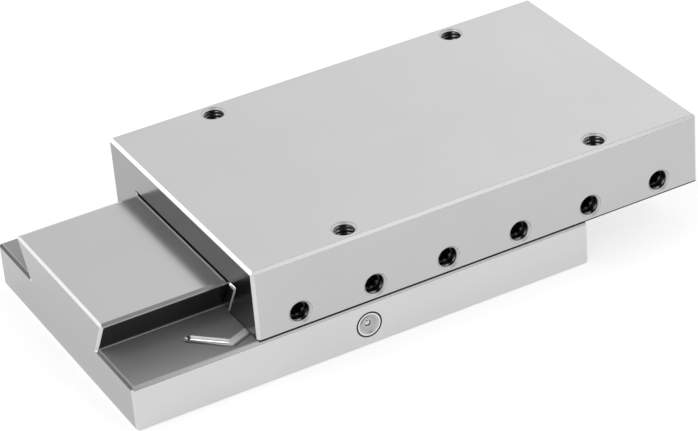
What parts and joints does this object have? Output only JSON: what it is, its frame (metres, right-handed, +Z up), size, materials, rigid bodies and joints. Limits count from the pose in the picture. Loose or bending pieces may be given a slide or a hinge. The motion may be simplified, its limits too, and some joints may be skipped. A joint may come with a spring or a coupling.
{
  "type": "dovetail slide",
  "caption": "Low dovetail slide: a ground base with a raised dovetail and zigzag oil grooves, and a saddle held on it by a gib and a row of socket set screws.",
  "frame": {"origin": "centre of the base's bottom face", "axes": "+X along the travel, towards the side the saddle stands out at; +Y across, away from the gib screws; +Z up, from the base to the saddle"},
  "size_m": [0.2023, 0.1, 0.04],
  "materials": {
    "ground_steel": "surface ground",
    "gib_steel": "ground",
    "screw_steel": "black oxide",
    "oiler_plate": "turned and bright plated",
    "ball_steel": "polished",
    "spring_wire": "drawn wire"
  },
  "bodies": {
    "base": {"base": "ground_steel", "oiler_body_near": "oiler_plate", "oiler_body_far": "oiler_plate", "oiler_spring_near": "spring_wire", "oiler_spring_far": "spring_wire"},
    "saddle": {"saddle": "ground_steel", "gib": "gib_steel"},
    "gib_screw_1": {"gib_screw_1": "screw_steel"},
    "gib_screw_2": {"gib_screw_2": "screw_steel"},
    "gib_screw_3": {"gib_screw_3": "screw_steel"},
    "gib_screw_4": {"gib_screw_4": "screw_steel"},
    "gib_screw_5": {"gib_screw_5": "screw_steel"},
    "gib_screw_6": {"gib_screw_6": "screw_steel"},
    "oiler_ball_near": {"oiler_ball_near": "ball_steel"},
    "oiler_ball_far": {"oiler_ball_far": "ball_steel"}
  },
  "joints": [
    {"name": "saddle_slide", "type": "slide", "parent": "base", "child": "saddle", "axis": [1, 0, 0], "range_m": [-0.0923, 0.0077]},
    {"name": "gib_screw_1_turn", "type": "hinge", "parent": "saddle", "child": "gib_screw_1", "pos_m": [-0.0227, -0.04, 0.0207], "axis": [0, -1, 0], "range_deg": [0, 180]},
    {"name": "gib_screw_2_turn", "type": "hinge", "parent": "saddle", "child": "gib_screw_2", "pos_m": [0.0033, -0.04, 0.0207], "axis": [0, -1, 0], "range_deg": [0, 180]},
    {"name": "gib_screw_3_turn", "type": "hinge", "parent": "saddle", "child": "gib_screw_3", "pos_m": [0.0293, -0.04, 0.0207], "axis": [0, -1, 0], "range_deg": [0, 180]},
    {"name": "gib_screw_4_turn", "type": "hinge", "parent": "saddle", "child": "gib_screw_4", "pos_m": [0.0553, -0.04, 0.0207], "axis": [0, -1, 0], "range_deg": [0, 180]},
    {"name": "gib_screw_5_turn", "type": "hinge", "parent": "saddle", "child": "gib_screw_5", "pos_m": [0.0813, -0.04, 0.0207], "axis": [0, -1, 0], "range_deg": [0, 180]},
    {"name": "gib_screw_6_turn", "type": "hinge", "parent": "saddle", "child": "gib_screw_6", "pos_m": [0.1073, -0.04, 0.0207], "axis": [0, -1, 0], "range_deg": [0, 180]},
    {"name": "oiler_ball_near_press", "type": "slide", "parent": "base", "child": "oiler_ball_near", "axis": [0, 1, 0], "range_m": [0, 0.0008], "stiffness_N_per_m": 400, "springref_m": -0.001, "deforming": ["oiler_spring_near"]},
    {"name": "oiler_ball_far_press", "type": "slide", "parent": "base", "child": "oiler_ball_far", "axis": [0, -1, 0], "range_m": [0, 0.0008], "stiffness_N_per_m": 400, "springref_m": -0.001, "deforming": ["oiler_spring_far"]}
  ]
}
